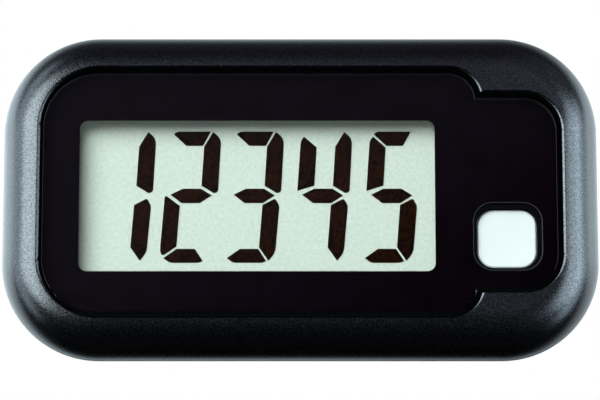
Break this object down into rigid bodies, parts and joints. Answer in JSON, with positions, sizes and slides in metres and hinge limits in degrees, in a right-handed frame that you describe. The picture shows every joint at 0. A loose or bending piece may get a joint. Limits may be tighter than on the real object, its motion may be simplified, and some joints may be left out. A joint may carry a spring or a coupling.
{
  "type": "pocket pedometer",
  "caption": "Flat pocket step counter with a rounded case, a sunken glossy window, a segment display and a recessed push button.",
  "frame": {"origin": "middle of the footprint, on the flat back that the pedometer rests on", "axes": "+X to the right of the display, +Y to the display's top edge, +Z out of the face"},
  "size_m": [0.063, 0.0346, 0.011],
  "materials": {
    "case_plastic": "satin black, finely spark-eroded",
    "cover_plastic": "satin black",
    "lens_acrylic": "polished, clear",
    "mask_print": "black print seen through the lens",
    "button_plastic": "smooth white",
    "spring_steel": "bright sheet",
    "polariser_film": "clear film",
    "display_glass": "clear",
    "display_green": "pale grey-green display with dark digits",
    "reflector_foil": "satin foil",
    "nylon": "natural moulding",
    "elastomer": "striped grey",
    "board_laminate": "green solder resist",
    "chip_black": "moulded black",
    "ceramic": "fired tan",
    "tin": "tinned",
    "cell_steel": "fine satin",
    "contact_gold": "gold-flashed spring sheet",
    "screw_steel": "zinc plated"
  },
  "bodies": {
    "case": {"front_case": "case_plastic", "back_case": "case_plastic", "window_lens": "lens_acrylic", "window_mask": "mask_print", "switch_base": "chip_black", "switch_dome": "spring_steel", "switch_frame": "tin", "lcd_front_polariser": "polariser_film", "lcd_front_glass": "display_glass", "lcd_crystal_layer": "display_green", "lcd_rear_glass": "display_glass", "lcd_reflector": "reflector_foil", "lcd_tray": "nylon", "zebra_connector": "elastomer", "circuit_board": "board_laminate", "processor_chip": "chip_black", "motion_sensor": "chip_black", "clock_crystal": "tin", "capacitor_1": "ceramic", "capacitor_2": "ceramic", "capacitor_3": "ceramic", "resistor_1": "chip_black", "resistor_2": "chip_black", "resistor_3": "chip_black", "board_screw_1": "screw_steel", "board_screw_2": "screw_steel", "battery_can": "cell_steel", "battery_gasket": "nylon", "battery_cap": "cell_steel", "battery_pellet": "chip_black", "battery_contact_positive": "contact_gold", "battery_contact_negative": "contact_gold", "case_screw_1": "screw_steel", "case_screw_2": "screw_steel", "case_screw_3": "screw_steel", "case_screw_4": "screw_steel"},
    "button": {"mode_button": "button_plastic"},
    "plunger": {"switch_plunger": "nylon"},
    "cover": {"battery_cover": "cover_plastic"},
    "cover_fastener": {"cover_screw": "screw_steel", "cover_screw_washer": "nylon"}
  },
  "joints": [
    {"name": "button_press", "type": "slide", "parent": "case", "child": "button", "axis": [0, 0, -1], "range_m": [0, 0.00025], "stiffness_N_per_m": 1200},
    {"name": "plunger_press", "type": "slide", "parent": "case", "child": "plunger", "axis": [0, 0, -1], "range_m": [0, 0.00025], "deforming": ["switch_dome"]},
    {"name": "cover_lift", "type": "slide", "parent": "case", "child": "cover", "axis": [0, 0, -1], "range_m": [0, 0.012]},
    {"name": "cover_screw_turn", "type": "hinge", "parent": "cover", "child": "cover_fastener", "pos_m": [0.0082, 0, 0.0005], "axis": [0, 0, -1], "range_deg": [0, 1080]}
  ],
  "couplings": [
    {"joint": "plunger_press", "follows": "button_press", "ratio": 1}
  ]
}
